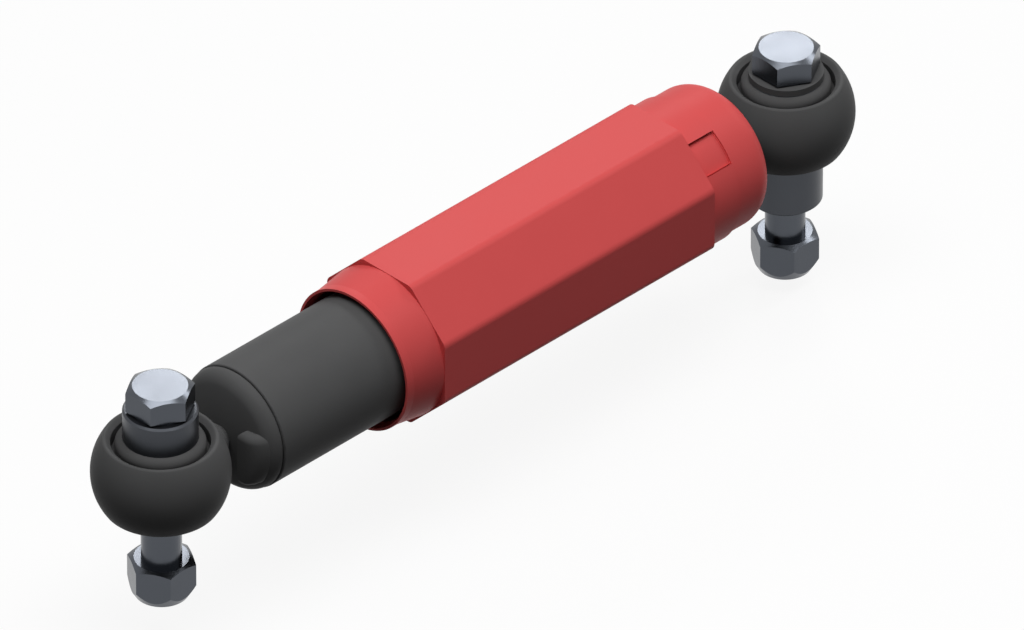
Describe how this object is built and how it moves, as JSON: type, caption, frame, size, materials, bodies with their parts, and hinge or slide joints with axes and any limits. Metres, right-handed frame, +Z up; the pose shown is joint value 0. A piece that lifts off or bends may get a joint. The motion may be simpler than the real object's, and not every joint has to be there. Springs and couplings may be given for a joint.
{
  "type": "shock absorber",
  "caption": "Twin-tube shock absorber with rubber-bushed eyes, M12 bolts and an octagonal cover over its rod.",
  "frame": {"origin": "on the tube-end bolt's axis, at the face of its sleeve that the bracket bears on", "axes": "+X along the damper from the tube's eye to the rod's eye, +Z up along the bolts towards their heads"},
  "size_m": [0.2978, 0.0486, 0.0865],
  "materials": {
    "black_paint": "satin black paint",
    "black_rubber": "moulded, matt",
    "zinc_steel": "blue zinc plate",
    "sleeve_steel": "turned, phosphated",
    "plain_steel": "oiled",
    "sintered_iron": "sintered",
    "bronze": "bronze backed, coated",
    "chromed_rod": "hard chrome, polished",
    "band_plastic": "filled PTFE",
    "nylon": "plain nylon",
    "red_plastic": "moulded, satin"
  },
  "bodies": {
    "tube_mount": {"tube_end_sleeve": "sleeve_steel", "tube_end_bolt": "zinc_steel", "tube_end_nut": "zinc_steel", "tube_end_lock_ring": "nylon"},
    "tube_unit": {"tube_eye": "black_paint", "tube_eye_bush": "black_rubber", "outer_tube": "black_paint", "pressure_tube": "plain_steel", "base_valve_body": "sintered_iron", "base_valve_disc": "plain_steel", "base_check_plate": "plain_steel", "base_check_spring": "plain_steel", "base_valve_pin": "plain_steel", "rod_guide": "sintered_iron", "guide_bush": "bronze", "guide_ring": "black_rubber", "rod_seal": "black_rubber", "seal_spring": "plain_steel"},
    "piston_band": {"piston_ring": "band_plastic"},
    "rod_unit": {"piston_rod": "chromed_rod", "piston": "sintered_iron", "rebound_shims": "plain_steel", "compression_shims": "plain_steel", "support_washer": "plain_steel", "valve_stop_plate": "plain_steel", "piston_nut": "plain_steel", "stop_clip": "plain_steel", "rebound_stop": "band_plastic", "bump_stop": "black_rubber", "rod_eye": "black_paint", "rod_eye_bush": "black_rubber", "cover_shell": "red_plastic", "cover_cap": "red_plastic"},
    "rod_mount": {"rod_end_sleeve": "sleeve_steel", "rod_end_washer": "black_paint", "rod_end_bolt": "zinc_steel", "rod_end_nut": "zinc_steel", "rod_end_lock_ring": "nylon"}
  },
  "joints": [
    {"name": "tube_bush_twist", "type": "hinge", "parent": "tube_mount", "child": "tube_unit", "pos_m": [0, 0, 0.0146], "axis": [0, 0, 1], "range_deg": [-15, 15], "stiffness_Nm_per_rad": 40},
    {"name": "stroke", "type": "slide", "parent": "tube_unit", "child": "piston_band", "axis": [1, 0, 0], "range_m": [-0.035, 0.025]},
    {"name": "rod_turn", "type": "hinge", "parent": "piston_band", "child": "rod_unit", "pos_m": [0.1, 0, 0.0146], "axis": [1, 0, 0], "continuous": true},
    {"name": "rod_bush_twist", "type": "hinge", "parent": "rod_unit", "child": "rod_mount", "pos_m": [0.2568, 0, 0.0146], "axis": [0, 0, 1], "range_deg": [-15, 15], "stiffness_Nm_per_rad": 40}
  ]
}
